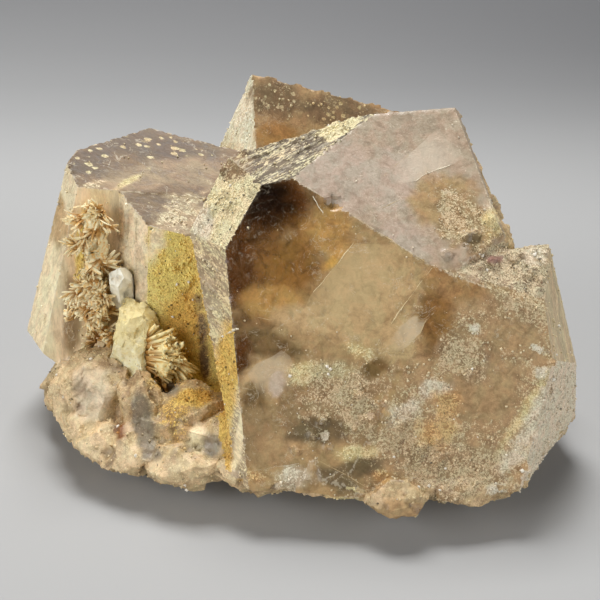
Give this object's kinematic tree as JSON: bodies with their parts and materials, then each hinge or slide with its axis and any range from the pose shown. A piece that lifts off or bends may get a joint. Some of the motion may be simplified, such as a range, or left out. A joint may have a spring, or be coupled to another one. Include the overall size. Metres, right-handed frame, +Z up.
{
  "type": "smoky quartz cluster",
  "caption": "Intergrown smoky quartz crystals on a broken base, with a pale green crystal and sprays of cream blades, resting on a flat underside.",
  "frame": {"origin": "on the surface that the cluster rests on, below the middle of its bounding box", "axes": "+Z up, -Y towards the front with the large window face, +X to the right as seen from the front"},
  "size_m": [0.1324, 0.0976, 0.082],
  "materials": {
    "smoky_quartz": "brown transparent quartz, cloudy and crusted with cream grains and ochre clay",
    "pale_green_mineral": "waxy, slightly granular",
    "cream_blades": "satin fibrous blades",
    "white_quartz": "milky translucent"
  },
  "bodies": {
    "root": {"smoky_quartz": "smoky_quartz", "pale_green_crystal": "pale_green_mineral", "cream_blade_spray": "cream_blades", "cream_blade_tufts": "cream_blades", "white_crystal": "white_quartz"}
  },
  "joints": []
}
